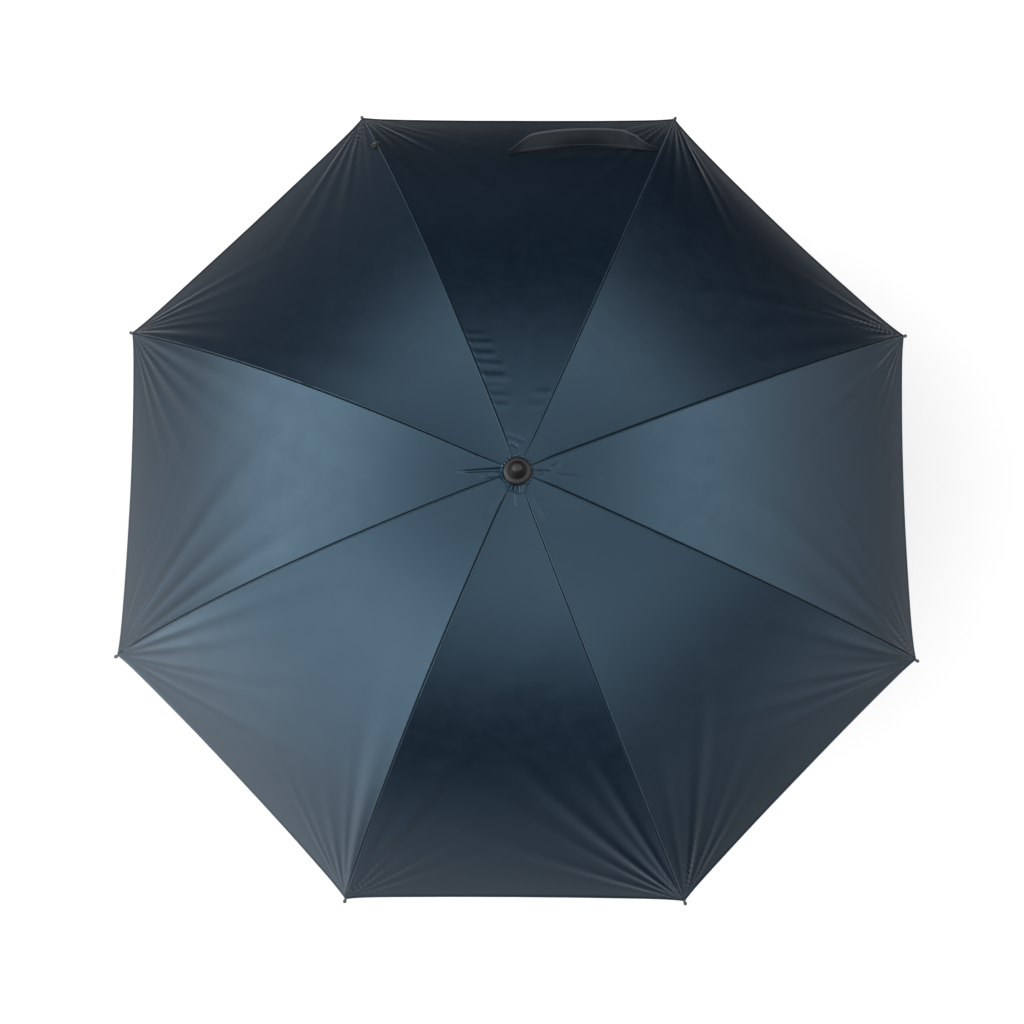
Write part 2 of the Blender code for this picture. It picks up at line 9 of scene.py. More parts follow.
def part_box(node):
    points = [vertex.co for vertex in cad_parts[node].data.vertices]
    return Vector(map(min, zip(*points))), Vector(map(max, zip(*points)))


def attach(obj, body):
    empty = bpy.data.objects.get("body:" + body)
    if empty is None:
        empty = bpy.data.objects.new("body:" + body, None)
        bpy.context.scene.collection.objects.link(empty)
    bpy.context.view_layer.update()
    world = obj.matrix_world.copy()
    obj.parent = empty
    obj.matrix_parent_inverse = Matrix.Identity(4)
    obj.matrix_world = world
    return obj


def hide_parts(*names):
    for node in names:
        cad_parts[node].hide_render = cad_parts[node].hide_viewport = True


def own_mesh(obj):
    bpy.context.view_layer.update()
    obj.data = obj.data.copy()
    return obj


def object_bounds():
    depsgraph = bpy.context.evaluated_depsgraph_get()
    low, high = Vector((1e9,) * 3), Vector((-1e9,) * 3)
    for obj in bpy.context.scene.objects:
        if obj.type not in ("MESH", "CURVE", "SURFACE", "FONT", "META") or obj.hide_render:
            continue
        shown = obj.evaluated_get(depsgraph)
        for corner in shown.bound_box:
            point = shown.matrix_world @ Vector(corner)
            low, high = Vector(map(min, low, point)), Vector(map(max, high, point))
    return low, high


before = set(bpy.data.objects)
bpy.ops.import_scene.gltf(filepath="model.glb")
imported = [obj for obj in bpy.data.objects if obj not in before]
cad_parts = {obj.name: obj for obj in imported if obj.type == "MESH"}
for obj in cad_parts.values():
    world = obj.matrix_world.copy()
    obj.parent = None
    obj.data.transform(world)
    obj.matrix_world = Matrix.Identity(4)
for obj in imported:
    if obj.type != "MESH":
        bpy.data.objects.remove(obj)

CAD_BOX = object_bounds()

# The canopy's line, in metres: the same rule as the solids follow.
RIBS = 8
FIRST_RIB = math.radians(22.5)
STEP = 2 * math.pi / RIBS
SPREAD = 0.520
RISE = 0.195
POWER = 2.28
OVER_HINGES = 0.0034
RIB_UNDER_CLOTH = 0.0032
FLEX_AT = 0.283
ROD_END = 0.514
CROWN_Z = (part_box("crown_wire")[0][2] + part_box("crown_wire")[1][2]) / 2

# How the cloth differs from that line.
THICK = 0.0005
PANEL_SAG = 0.018
HEM_TAUT = 0.6
HEM_INSET = (0.0047, 0.0003, 0.0007, 0.0040, 0.0030, 0.0008, 0.0017, 0.0046)  # of each panel, in its middle
HEM_FLARE = 0.0018  # at least this much of it lies close to the tips
SEAM_BOW = 0.0036  # the seams bow clockwise by this much half way out

# Sewing, in metres.
WEAVE = 0.0006
STITCH = 0.0026
SEAM_FROM, SEAM_TO = 0.0165, 0.5165  # from the axis
THREAD_ON_SEAM = 0.0001  # its height over the seam's middle
THREAD_ON_STRAP = 0.0024  # in from the strap's lower edge

# Tie strap and press stud. ALONG is a share of the spread, ACROSS runs from -1 at its rib to 1 at the next.
STRAP_RIB = 2
STRAP_WIDE = 0.0200
STRAP_THICK = 0.0009
STRAP_LONG = 0.19
STRAP_ALONG, STRAP_BOW = 0.832, 0.013
STRAP_ACROSS, STRAP_REACH = -0.985, 1.070
STRAP_HIGHLIGHT_FROM = 0.0180  # where the painted highlight along the strap's upper edge begins
SNAP_AT = 0.965  # of the strap's length
STUD_RIB, STUD_ALONG = 3, 0.859
STUD_LIFT = 0.0009

# Crown and tips, in metres from the ribs' hinges or along the tip.
BORE = 0.0053
CAP_R, CAP_TOP, CAP_BOTTOM = 0.0140, 0.0096, 0.0061
FERRULE_TOP, FERRULE_FOOT, FERRULE_HOLE = 0.031, 0.0099, 0.0163
ROSETTE_HOLE, ROSETTE_THICK = 0.0064, 0.0004
TIP_LONG = 0.0205
TIP_CLEAR = 0.0004

# Crook handle and collar, in metres.
GRIP_TOP, GRIP_R = 0.060, 0.0102
CROOK_R, CROOK_DROP, CROOK_RUN = 0.033, -0.060, 0.018
COLLAR_FOOT, COLLAR_TOP = 0.0603, 0.078


# ---------------------------------------------------------------- materials


class Finish:
    """A Principled material that is built up node by node."""

    def __init__(self, name, roughness, metallic=0.0, **sockets):
        self.mat = bpy.data.materials.new(name)
        self.mat.use_nodes = True
        self.tree = self.mat.node_tree
        self.shader = self.tree.nodes["Principled BSDF"]
        self.shader.inputs["Roughness"].default_value = roughness
        self.shader.inputs["Metallic"].default_value = metallic
        for key, value in sockets.items():
            self.shader.inputs[key.replace("_", " ")].default_value = value
        self.coords = self.add("TexCoord").outputs["Object"]
        self.base = None
        self.bump_last = None

    def add(self, kind, **values):
        node = self.tree.nodes.new("ShaderNode" + kind)
        for key, value in values.items():
            setattr(node, key, value)
        return node

    def feed(self, value, socket):
        if hasattr(value, "is_output"):
            self.tree.links.new(value, socket)
        else:
            socket.default_value = value

    def math(self, operation, a, b=0.0):
        node = self.add("Math", operation=operation)
        self.feed(a, node.inputs[0])
        self.feed(b, node.inputs[1])
        return node.outputs[0]

    def scaled(self, coords, scale):
        node = self.add("Mapping")
        self.feed(coords, node.inputs["Vector"])
        node.inputs["Scale"].default_value = scale
        return node.outputs["Vector"]

    def noise(self, scale, detail=2.0, rough=0.5, coords=None):
        node = self.add("TexNoise")
        self.feed(coords or self.coords, node.inputs["Vector"])
        node.inputs["Scale"].default_value = scale
        node.inputs["Detail"].default_value = detail
        node.inputs["Roughness"].default_value = rough
        return node.outputs["Fac"]

    def cloth_uv(self):
        """The cloth's own two directions, in metres."""
        vector = self.add("UVMap", uv_map="cloth").outputs["UV"]
        parts = self.add("SeparateXYZ")
        self.feed(vector, parts.inputs[0])
        return vector, parts.outputs[0], parts.outputs[1]

    def span(self, value, low, high, start=0.0, end=1.0):
        """value from start..end mapped to low..high."""
        node = self.add("MapRange")
        self.feed(value, node.inputs["Value"])
        limits = {"From Min": start, "From Max": end, "To Min": low, "To Max": high}
        for key, number in limits.items():
            node.inputs[key].default_value = number
        return node.outputs["Result"]

    def mix(self, factor, a, b):
        node = self.add("Mix", data_type="RGBA")
        self.feed(factor, node.inputs["Factor"])
        for value, socket in ((a, node.inputs[6]), (b, node.inputs[7])):
            self.feed(value if hasattr(value, "is_output") else (*value, 1.0), socket)
        return node.outputs[2]

    def colour(self, value):
        self.base = value
        self.feed(value, self.shader.inputs["Base Color"])

    def roughness(self, value):
        self.feed(value, self.shader.inputs["Roughness"])

    def bump(self, height, strength, distance):
        node = self.add("Bump")
        node.inputs["Strength"].default_value = strength
        node.inputs["Distance"].default_value = distance
        self.feed(height, node.inputs["Height"])
        if self.bump_last:
            self.feed(self.bump_last, node.inputs["Normal"])
        self.bump_last = node.outputs["Normal"]
        self.feed(self.bump_last, self.shader.inputs["Normal"])


def cloth_finish(name, dark, light, roughness=(0.28, 0.34)):
    """Plain-woven polyester: a fine weave, slubs along the warp, slow changes of shade, and painted shade
    that darkens it where the edge attribute is set.
    """
    f = Finish(name, 0.30, Specular_IOR_Level=1.0, Specular_Tint=(0.38, 0.64, 0.86, 1.0))
    uv, over, down = f.cloth_uv()
    turn = 2 * math.pi / WEAVE
    warp = f.math("SINE", f.math("MULTIPLY", over, turn))
    weft = f.math("SINE", f.math("MULTIPLY", down, turn))
    cell = f.math("MULTIPLY", warp, weft)
    slub = f.noise(1.0, 2.0, 0.6, f.scaled(uv, (60.0, 1500.0, 1.0)))
    slow = f.noise(5.0, 3.0, 0.55)
    mid = f.noise(55.0, 3.0, 0.6)
    shade = f.math("ADD", f.math("MULTIPLY", slow, 0.55), f.math("MULTIPLY", slub, 0.30))
    shade = f.math("ADD", shade, f.math("MULTIPLY", mid, 0.15))
    base = f.mix(f.span(shade, 0.0, 1.0, 0.30, 0.70), dark, light)
    # Painted shade: where edge is set, at the hem's turned rim, its stitch line and the strap's long edges,
    # the colour darkens as if in shadow.
    edge = f.add("Attribute", attribute_name="edge").outputs["Fac"]
    base = f.mix(f.math("MULTIPLY", edge, 0.75), base, (0.002, 0.004, 0.006))
    f.colour(base)
    f.roughness(f.span(mid, *roughness, 0.3, 0.7))
    f.bump(cell, 0.05, 0.00005)
    f.bump(slub, 0.07, 0.00004)
    f.bump(mid, 0.15, 0.0004)
    return f


def stitched_finish(name, dark, light, groove):
    """Cloth with a row of stitches: U runs along it in metres, and the thread lies at V = groove."""
    f = cloth_finish(name, dark, light, (0.30, 0.38))
    _, along, across = f.cloth_uv()
    run = f.math("SINE", f.math("MULTIPLY", along, 2 * math.pi / STITCH))
    dash = f.span(run, 0.0, 1.0, -0.45, -0.15)
    off = f.math("ABSOLUTE", f.math("SUBTRACT", across, groove))
    line = f.span(off, 1.0, 0.0, 0.00018, 0.00034)
    stitch = f.math("MULTIPLY", dash, line)
    f.colour(f.mix(stitch, f.base, (0.035, 0.060, 0.085)))
    f.bump(stitch, 0.8, 0.00022)
    return f


def strap_finish():
    """Close-woven band, duller than the canopy, with a painted highlight along its outer side, where that
    edge catches the light.
    """
    dark, light = (0.0050, 0.0068, 0.0090), (0.0085, 0.0110, 0.0140)
    f = stitched_finish("strap_cloth", dark, light, THREAD_ON_STRAP)
    f.shader.inputs["Specular IOR Level"].default_value = 0.20
    f.shader.inputs["Specular Tint"].default_value = (0.80, 0.90, 1.0, 1.0)
    _, _, across = f.cloth_uv()
    # Painted highlight: the last two millimetres of the band's width are coloured paler, as if lit.
    painted_highlight = f.span(across, 0.0, 1.0, STRAP_HIGHLIGHT_FROM - 0.0004, STRAP_HIGHLIGHT_FROM + 0.0004)
    f.colour(f.mix(painted_highlight, f.base, (0.045, 0.052, 0.060)))
    return f.mat


def crease_shade_finish():
    """The tight fold beside a seam, where the cloth turns under and catches little light: that shade is
    painted into its dark colour.
    """
    f = Finish("seam_crease_painted_shade", 0.7, Specular_IOR_Level=0.25, Specular_Tint=(0.41, 0.65, 0.845, 1.0))
    wander = f.noise(260.0, 3.0, 0.6)
    shade = f.span(wander, 0.0, 1.0, 0.3, 0.7)
    f.colour(f.mix(shade, (0.0008, 0.0022, 0.0040), (0.0020, 0.0048, 0.0080)))
    f.roughness(f.span(wander, 0.60, 0.80, 0.3, 0.7))
    f.bump(wander, 0.4, 0.0003)
    return f.mat


def plastic_finish(name, colour, roughness, grain=900.0, depth=0.00004, worn=(0.10, 0.10, 0.105)):
    """Moulded plastic: fine spark grain, slight unevenness and paler rubbed spots."""
    f = Finish(name, roughness, Specular_IOR_Level=0.5)
    slow, fine = f.noise(40.0, 4.0, 0.6), f.noise(grain, 2.0, 0.6)
    rub = f.span(f.noise(130.0, 5.0, 0.7), 0.0, 0.35, 0.60, 0.80)
    shade = f.span(slow, 0.0, 1.0, 0.3, 0.7)
    base = f.mix(shade, [c * 0.8 for c in colour], [c * 1.25 for c in colour])
    f.colour(f.mix(rub, base, worn))
    f.roughness(f.span(slow, roughness - 0.07, roughness + 0.10, 0.3, 0.7))
    f.bump(fine, 0.35, depth)
    f.bump(slow, 0.2, 0.0002)
    return f.mat


def metal_finish(name, colour, roughness, spots=0.4, painted=False):
    """Plated or painted steel with drawing marks and a little dullness in patches."""
    f = Finish(name, roughness, 0.0 if painted else 1.0)
    if painted:
        f.shader.inputs["Coat Weight"].default_value = 0.3
        f.shader.inputs["Coat Roughness"].default_value = 0.25
    marks = f.noise(320.0, 3.0, 0.7)
    dull = f.noise(60.0, 4.0, 0.65)
    base = f.mix(f.span(dull, 0.0, 1.0, 0.35, 0.75), colour, [c * (1 - 0.35 * spots) for c in colour])
    chip = f.span(f.noise(420.0, 3.0, 0.7), 0.0, 0.6 if painted else 0.0, 0.72, 0.82)
    f.colour(f.mix(chip, base, (0.16, 0.155, 0.15)))
    blend = f.math("ADD", f.math("MULTIPLY", marks, 0.5), f.math("MULTIPLY", dull, 0.5))
    f.roughness(f.span(blend, roughness - 0.08, roughness + 0.14, 0.3, 0.7))
    f.bump(marks, 0.25, 0.00003)
    return f.mat


def handle_finish():
    """Soft-touch rubber: a fine leathery grain that shines a little where the hand rubs."""
    f = Finish("handle_rubber_look", 0.55, Specular_IOR_Level=0.45)
    grain = f.add("TexVoronoi", feature="DISTANCE_TO_EDGE")
    f.feed(f.coords, grain.inputs["Vector"])
    grain.inputs["Scale"].default_value = 900.0
    slow = f.noise(22.0, 4.0, 0.6)
    shade = f.span(slow, 0.0, 1.0, 0.3, 0.7)
    f.colour(f.mix(shade, (0.014, 0.013, 0.013), (0.030, 0.028, 0.027)))
    f.roughness(f.span(slow, 0.62, 0.44, 0.3, 0.7))
    f.bump(grain.outputs["Distance"], 0.4, 0.00015)
    return f.mat


def floor_finish():
    f = Finish("floor_look", 0.9)
    slow = f.noise(2.0, 3.0)
    f.colour(f.mix(slow, (0.86, 0.86, 0.86), (0.90, 0.90, 0.90)))
    return f.mat


# ---------------------------------------------------------------- meshes


def mesh_object(name, points, faces, mats, which=None, smooth=40.0):
    mesh = bpy.data.meshes.new(name)
    mesh.from_pydata([tuple(map(float, p)) for p in points], [], faces)
    for mat in mats if isinstance(mats, (list, tuple)) else [mats]:
        mesh.materials.append(mat)
    if which is not None:
        mesh.polygons.foreach_set("material_index", which)
    mesh.shade_smooth()
    if smooth is not None:
        mesh.set_sharp_from_angle(angle=math.radians(smooth))
    mesh.update()
    obj = bpy.data.objects.new(name, mesh)
    bpy.context.scene.collection.objects.link(obj)
    return obj


def shell(name, points, normals, thick, mat, uv, edge, loop=False):
    """A thin closed sheet from a grid of points, with the grid's own normals on both of its sides.

    edge is 1 where shade is painted into the cloth's colour, and loop joins the last column to the first."""
    rows, cols = points.shape[:2]
    n = rows * cols
    top = points.reshape(-1, 3)
    flat_n = normals.reshape(-1, 3)
    verts = np.concatenate([top, top - flat_n * thick])
    spans = cols if loop else cols - 1
    i, j = np.meshgrid(np.arange(rows - 1), np.arange(spans), indexing="ij")
    i, j = i.ravel(), j.ravel()
    nxt = (j + 1) % cols
    quad = np.stack([i * cols + j, (i + 1) * cols + j, (i + 1) * cols + nxt, i * cols + nxt], 1)
    under = quad[:, ::-1] + n
    line = [(r * cols, (r + 1) * cols) for r in range(rows - 1)]
    rim = []
    if not loop:
        rim += [(a, b) for b, a in line] + [(a + cols - 1, b + cols - 1) for a, b in line]
    across = [(c, (c + 1) % cols) for c in range(spans)]
    rim += across + [(b + (rows - 1) * cols, a + (rows - 1) * cols) for a, b in across]
    rim = np.array([(a, b, b + n, a + n) for a, b in rim])
    faces = np.concatenate([quad, under, rim])
    obj = mesh_object(name, verts, faces.tolist(), mat, smooth=None)
    mesh = obj.data
    all_n = np.concatenate([flat_n, -flat_n])
    loops = all_n[faces.ravel()]
    own = np.array([mesh.polygons[k].normal for k in range(len(faces) - len(rim), len(faces))])
    loops[-len(rim) * 4:] = np.repeat(own, 4, 0)
    mesh.normals_split_custom_set(loops.astype(float).tolist())
    layer = mesh.uv_layers.new(name="cloth")
    both = np.concatenate([uv.reshape(-1, 2)] * 2)
    layer.data.foreach_set("uv", both[faces.ravel()].astype(np.float32).ravel())
    values = np.concatenate([edge.ravel()] * 2).astype(np.float32)
    mesh.attributes.new("edge", "FLOAT", "POINT").data.foreach_set("value", values)
    return obj


def lathe(name, profile, mats, which=None, steps=64):
    """A body turned about Z. The profile is (radius, height) from the top of the axis, or a closed ring."""
    faces, points, rings, kinds = [], [], [], []
    circle = [(math.cos(2 * math.pi * k / steps), math.sin(2 * math.pi * k / steps)) for k in range(steps)]
    for r, z in profile:
        if r < 1e-7:
            rings.append([len(points)])
            points.append((0.0, 0.0, z))
        else:
            rings.append(list(range(len(points), len(points) + steps)))
            points += [(r * x, r * y, z) for x, y in circle]
    closed = profile[0][0] > 1e-7
    pairs = list(zip(rings, rings[1:])) + ([(rings[-1], rings[0])] if closed else [])
    for number, (a, b) in enumerate(pairs):
        for k in range(steps):
            m = (k + 1) % steps
            face = [a[k % len(a)], b[k % len(b)], b[m % len(b)], a[m % len(a)]]
            face = [v for at, v in enumerate(face) if face.index(v) == at]
            faces.append(face)
            kinds.append(which[number] if which else 0)
    return mesh_object(name, points, faces, mats, kinds, 35.0)


def sweep(name, path, radii, mat, sides):
    """A closed round body along a path in the XZ plane."""
    points, faces = [], []
    side = np.array([0.0, 1.0, 0.0])
    path = [np.array(p, float) for p in path]
    for i, p in enumerate(path):
        ahead = path[min(i + 1, len(path) - 1)] - path[max(i - 1, 0)]
        ahead /= np.linalg.norm(ahead)
        up = np.cross(ahead, side)
        for k in range(sides):
            a = 2 * math.pi * k / sides
            points.append(p + radii[i] * (math.cos(a) * side + math.sin(a) * up))
    for i in range(len(path) - 1):
        for k in range(sides):
            m = (k + 1) % sides
            faces.append((i * sides + k, i * sides + m, (i + 1) * sides + m, (i + 1) * sides + k))
    faces.append(tuple(range(sides))[::-1])
    faces.append(tuple(range((len(path) - 1) * sides, len(path) * sides)))
    obj = mesh_object(name, points, faces, mat, None, None)
    work = bmesh.new()
    work.from_mesh(obj.data)
    bmesh.ops.recalc_face_normals(work, faces=work.faces)
    work.to_mesh(obj.data)
    work.free()
    obj.data.set_sharp_from_angle(angle=math.radians(40.0))
    return obj


# ---------------------------------------------------------------- the cloth's surface


def turned(out, side, angle):
    """A plan position from its distances along and beside a line at the angle."""
    return out * np.cos(angle) - side * np.sin(angle), out * np.sin(angle) + side * np.cos(angle)


def lean_at(u):
    """The angle of the canopy's line to the horizontal, at the share u of the spread."""
    return np.arctan(-RISE * POWER / SPREAD * u ** (POWER - 1))


def smooth(x, low, high):
    t = np.clip((x - low) / (high - low), 0.0, 1.0)
    return t * t * (3 - 2 * t)


FOLD_ANGLES = (7.0, 17.0, 29.0, 43.0, 57.0)  # degrees from the seam, at each tip
FOLD_STRENGTH = {2: 0.5, 6: 1.5, 7: 1.4}  # panels that pull less or more than the others


def corner_folds(k, u, s, width):
    """Tension folds that fan out from both tips of the panel."""
    total = np.zeros_like(u)
    for end in (0, 1):
        dice = np.random.RandomState(31 + 2 * k + end)
        a = (1 - u) * SPREAD / np.cos(lean_at(u))
        b = width / 2 * (1 + s if end == 0 else 1 - s)
        angle, far = np.degrees(np.arctan2(b, a + 1e-6)), np.hypot(a, b)
        for number, middle in enumerate(FOLD_ANGLES):
            middle += dice.uniform(-3.0, 3.0)
            wide = dice.uniform(2.2, 3.8)
            reach = dice.uniform(0.030, 0.062) * (1.25 if number < 2 else 1.0)
            high = dice.uniform(0.026, 0.050) * (1.0 if number < 3 else 0.8) * FOLD_STRENGTH.get(k, 1.0)
            hollow = np.exp(-((angle - middle - 6.0) / 4.0) ** 2)
            ridge = np.exp(-((angle - middle) / wide) ** 2) - 0.35 * hollow
            total += high * far * np.exp(-far / reach) * ridge * smooth(far, 0.004, 0.014)
    return total


# Creases round the cap: from and to in plan, half width at each end, and height, all in metres.
CREASES = (
    ((-0.0150, 0.0012), (-0.0600, -0.0010), 0.0022, 0.0008, 0.0013),
    ((-0.0150, -0.0040), (-0.0330, -0.0065), 0.0022, 0.0010, -0.0006),
    ((-0.0300, -0.0040), (-0.0350, -0.0055), 0.0016, 0.0016, 0.0005),
    ((0.0180, 0.0002), (0.0360, 0.0002), 0.0009, 0.0007, 0.0006),
    ((0.0330, 0.0030), (0.0430, 0.0080), 0.0024, 0.0020, 0.0007),
    ((0.0230, -0.0060), (0.0290, -0.0010), 0.0020, 0.0020, 0.0006),
    ((0.0400, -0.0035), (0.0860, -0.0070), 0.0016, 0.0010, 0.0006),
    ((-0.0115, 0.0375), (0.0085, 0.0300), 0.0015, 0.0013, -0.0008),
    ((-0.0080, 0.0290), (0.0010, 0.0240), 0.0015, 0.0013, -0.0008),
    ((-0.0010, -0.0210), (0.0000, -0.0370), 0.0022, 0.0012, 0.0005),
    ((0.0100, -0.0210), (0.0270, -0.0500), 0.0028, 0.0018, 0.0005),
    ((-0.0130, -0.0210), (-0.0330, -0.0440), 0.0030, 0.0018, -0.0004),
)
# Cross ripples beside a panel's two seams: distance from the axis, half width, height, reach and tilt.
RIPPLED_PANEL = 2
RIPPLES = (
    (0.1530, 0.0034, 0.00040, 0.024, 0.02), (0.1428, 0.0036, 0.00062, 0.028, 0.03),
    (0.1301, 0.0036, 0.00062, 0.026, 0.00), (0.1188, 0.0035, 0.00062, 0.030, -0.03),
    (0.1036, 0.0045, 0.00090, 0.029, 0.02), (0.0925, 0.0026, 0.00030, 0.018, 0.06),
    (0.0828, 0.0034, 0.00055, 0.024, -0.05), (0.0710, 0.0040, 0.00075, 0.020, 0.04),
)
SMALL_RIPPLES = ((0.0860, 0.0036, 0.00055, 0.022, 0.08), (0.0723, 0.0040, 0.00035, 0.024, 0.02))


def creases(x, y):
    total = np.zeros_like(x)
    for (x0, y0), (x1, y1), start, end, high in CREASES:
        dx, dy = x1 - x0, y1 - y0
        length = math.hypot(dx, dy)
        t = ((x - x0) * dx + (y - y0) * dy) / length**2
        off = np.abs((x - x0) * dy - (y - y0) * dx) / length
        wide = start + (end - start) * np.clip(t, 0, 1)
        ends = smooth(t, -0.10, 0.12) * (1 - smooth(t, 0.70, 1.10))
        total += high * ends * np.exp(-(off / wide) ** 2)
    return total


def ripples(table, fade, r, off):
    """Short ridges across the cloth at the distance off from a seam, each fading out at its reach."""
    total = np.zeros_like(r)
    for middle, wide, high, reach, tilt in table:
        zone = smooth(off, 0.001, 0.005) * (1 - smooth(off, reach - fade, reach + 0.004))
        total += high * zone * np.exp(-((r - middle - tilt * off) / wide) ** 2)
    return total


def relief(k, u, s, width, x, y):
    """How far the cloth stands off its smooth shape, in metres."""
    total = corner_folds(k, u, s, width)
    total += creases(x, y)
    total += 0.00012 * np.sin(x * 31 + 1.3) * np.sin(y * 27 + 0.4)
    total += 0.000025 * np.sin(x * 83 - y * 61 + 0.7)
    if k == RIPPLED_PANEL:
        total += ripples(RIPPLES, 0.009, u * SPREAD, width / 2 * (1 - s))
        total += ripples(SMALL_RIPPLES, 0.010, u * SPREAD, width / 2 * (1 + s))
    hem = (1 - u) * SPREAD / np.cos(lean_at(u))
    total += 0.00040 * smooth(hem, 0.0004, 0.0014) * (1 - smooth(hem, 0.0048, 0.0058))
    total -= 0.0003 * (hem < 0.0004)
    return total


def cloth_point(k, u, s):
    """Points in the middle of the cloth of the panel between rib k and the next one."""
    u, s = np.broadcast_arrays(np.asarray(u, float), np.asarray(s, float))
    r = u * SPREAD
    half = STEP / 2
    width = 2 * r * math.sin(half)
    hollow = 1 - s * s
    flare = max(HEM_FLARE, 0.45 * HEM_INSET[k - 1])
    inset = ((HEM_INSET[k - 1] - flare) * hollow + flare * (1 - np.abs(s) ** 14)) * u**10
    out = r * math.cos(half) - inset
    side = width / 2 * s
    lean = lean_at(u)
    middle = FIRST_RIB + STEP * (k - 1) + half - 4 * SEAM_BOW * (1 - u) / SPREAD
    x, y = turned(out, side, middle)
    dip = PANEL_SAG * width * hollow * (1 - HEM_TAUT * u**6) - relief(k, u, s, width, x, y)
    out = out + dip * np.sin(lean)
    z = CROWN_Z + OVER_HINGES - RISE * u**POWER - dip * np.cos(lean)
    x, y = turned(out, side, middle)
    return np.stack([x, y, z], -1)


def grid_normals(points):
    down = np.gradient(points, axis=0)
    over = np.gradient(points, axis=1)
    n = np.cross(down, over)
    return n / np.linalg.norm(n, axis=-1, keepdims=True)


def cloth_normal(k, u, s):
    e = 0.004
    down = cloth_point(k, u + e, s) - cloth_point(k, u - e, s)
    over = cloth_point(k, u, np.asarray(s) + e) - cloth_point(k, u, np.asarray(s) - e)
    n = np.cross(down, over)
    return n / np.linalg.norm(n, axis=-1, keepdims=True)


def rib_azimuth(k):
    return FIRST_RIB + STEP * (k - 1)


def rib_spot(k, r, below=0.0):
    """A point square under the cloth along rib k."""
    lean = float(lean_at(r / SPREAD))
    x = r + below * math.sin(lean)
    z = CROWN_Z + OVER_HINGES - RISE * (r / SPREAD) ** POWER - below * math.cos(lean)
    a = rib_azimuth(k)
    return Vector((x * math.cos(a), x * math.sin(a), z))


def fold_with_rib(obj, k, outer):
    """The piece rides with rib k, on the rib's outer end when outer is true, and gets a mesh of its own."""
    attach(obj, f"rib_{k}_end" if outer else f"rib_{k}")
    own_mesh(obj)


# ---------------------------------------------------------------- canopy


def canopy_rows():
    """Shares of the spread, from the cap to the flex line and from there to the hem."""
    hem = np.array([0.0084, 0.0072, 0.0062, 0.0054, 0.0048, 0.0042, 0.0030, 0.0018, 0.0011, 0.0005, 0.0])
    inner = np.concatenate([np.arange(0.0068, 0.030, 0.0016), np.arange(0.030, 0.160, 0.0022),
                            np.linspace(0.160, FLEX_AT, 32)])
    outer = np.concatenate([np.linspace(FLEX_AT, 0.430, 38), np.linspace(0.430, 0.509, 30)[1:], SPREAD - hem])
    return inner / SPREAD, outer / SPREAD


def build_canopy(cloth):
    """Eight panels, each in halves that ride on their ribs, cut across where the ribs bend."""
    t = np.linspace(-1, 1, 73)
    s = 0.45 * t + 0.55 * np.sin(t * math.pi / 2)
    inner, outer = canopy_rows()
    rows = np.concatenate([inner, outer[1:]])
    split, centre = len(inner) - 1, len(t) // 2
    hem = (1 - rows) * SPREAD / np.cos(lean_at(rows))
    for k in range(1, RIBS + 1):
        u, across = np.meshgrid(rows, s, indexing="ij")
        points = cloth_point(k, u, across)
        normals = grid_normals(points)
        width = 2 * u * SPREAD * math.sin(STEP / 2)
        uv = np.stack([width / 2 * across, u * SPREAD / np.cos(lean_at(u))], -1)
        # Painted shade along the hem: dark at the turned rim and, more faintly, along the hem's stitch line.
        rim, hem_seam = np.exp(-((hem - 0.0002) / 0.0010) ** 2), np.exp(-((hem - 0.0056) / 0.0006) ** 2)
        edge = np.repeat(np.maximum(rim, 0.35 * hem_seam)[:, None], len(s), 1)
        points = points + normals * THICK / 2
        for side, rib, cols in ((1, k, slice(0, centre + 1)), (-1, k % RIBS + 1, slice(centre, None))):
            for part, lines in (("inner", slice(0, split + 1)), ("outer", slice(split, None))):
                name = f"canopy_{k}_{'first' if side == 1 else 'second'}_half_{part}"
                cut = points[lines, cols]
                obj = shell(name, cut, normals[lines, cols], THICK, cloth, uv[lines, cols], edge[lines, cols])
                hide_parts(f"canopy_panel_{k}")
                fold_with_rib(obj, rib, part == "outer")


BROAD_FOLDS = {1: 1.55, 4: 1.45, 6: 1.45, 8: 1.5, 5: 1.1}  # how much wider the fold is beside these seams
FLIPPED_SEAMS = (1, 4, 8)  # their allowance is pressed the other way


def seam_section(k):
    """Cross-section of the seam: distance to one side of the rib's line, height over the cloth, and what each
    stretch is: 0 for the stitched edge that stands up, coloured pale as a painted highlight, 1 for the tight
    fold beside it, coloured dark as painted shade."""
    broad = BROAD_FOLDS.get(k, 1.0)
    edge = [(-0.75, -0.35, 0), (-0.62, 0.22, 0), (-0.30, 0.52, 0), (0.10, 0.56, 0), (0.42, 0.30, 0)]
    edge += [(0.55, 0.06, 1)]
    fold = [(0.55 + 0.5 * broad, 0.03, 1), (0.55 + 1.05 * broad, 0.10, 1), (0.55 + 1.45 * broad, 0.24, 0),
            (0.75 + 1.60 * broad, 0.12, 0), (0.85 + 1.70 * broad, -0.35, 0)]
    return [(off * 0.001, high * 0.001, kind) for off, high, kind in edge + fold]


def seam_points(k, flip, section, r):
    """The section's points at each distance r along the seam. It slims at the cap and towards the tip."""
    u, half_width = r / SPREAD, r * math.sin(STEP / 2)
    slim = 0.40 + 0.60 * smooth(r, SEAM_FROM, 0.045) * (1 - 0.5 * smooth(r, 0.480, 0.515))
    columns = []
    for off, high, _ in section:
        off = off * flip * slim
        before = off[-1] > 0
        panel = (k - 2) % RIBS + 1 if before else k
        s = (1 if before else -1) - off / half_width
        normal = cloth_normal(panel, u, np.clip(s, -0.98, 0.98))
        columns.append(cloth_point(panel, u, s) + normal * (high * slim + THICK / 2)[:, None])
    return np.stack(columns, 1)


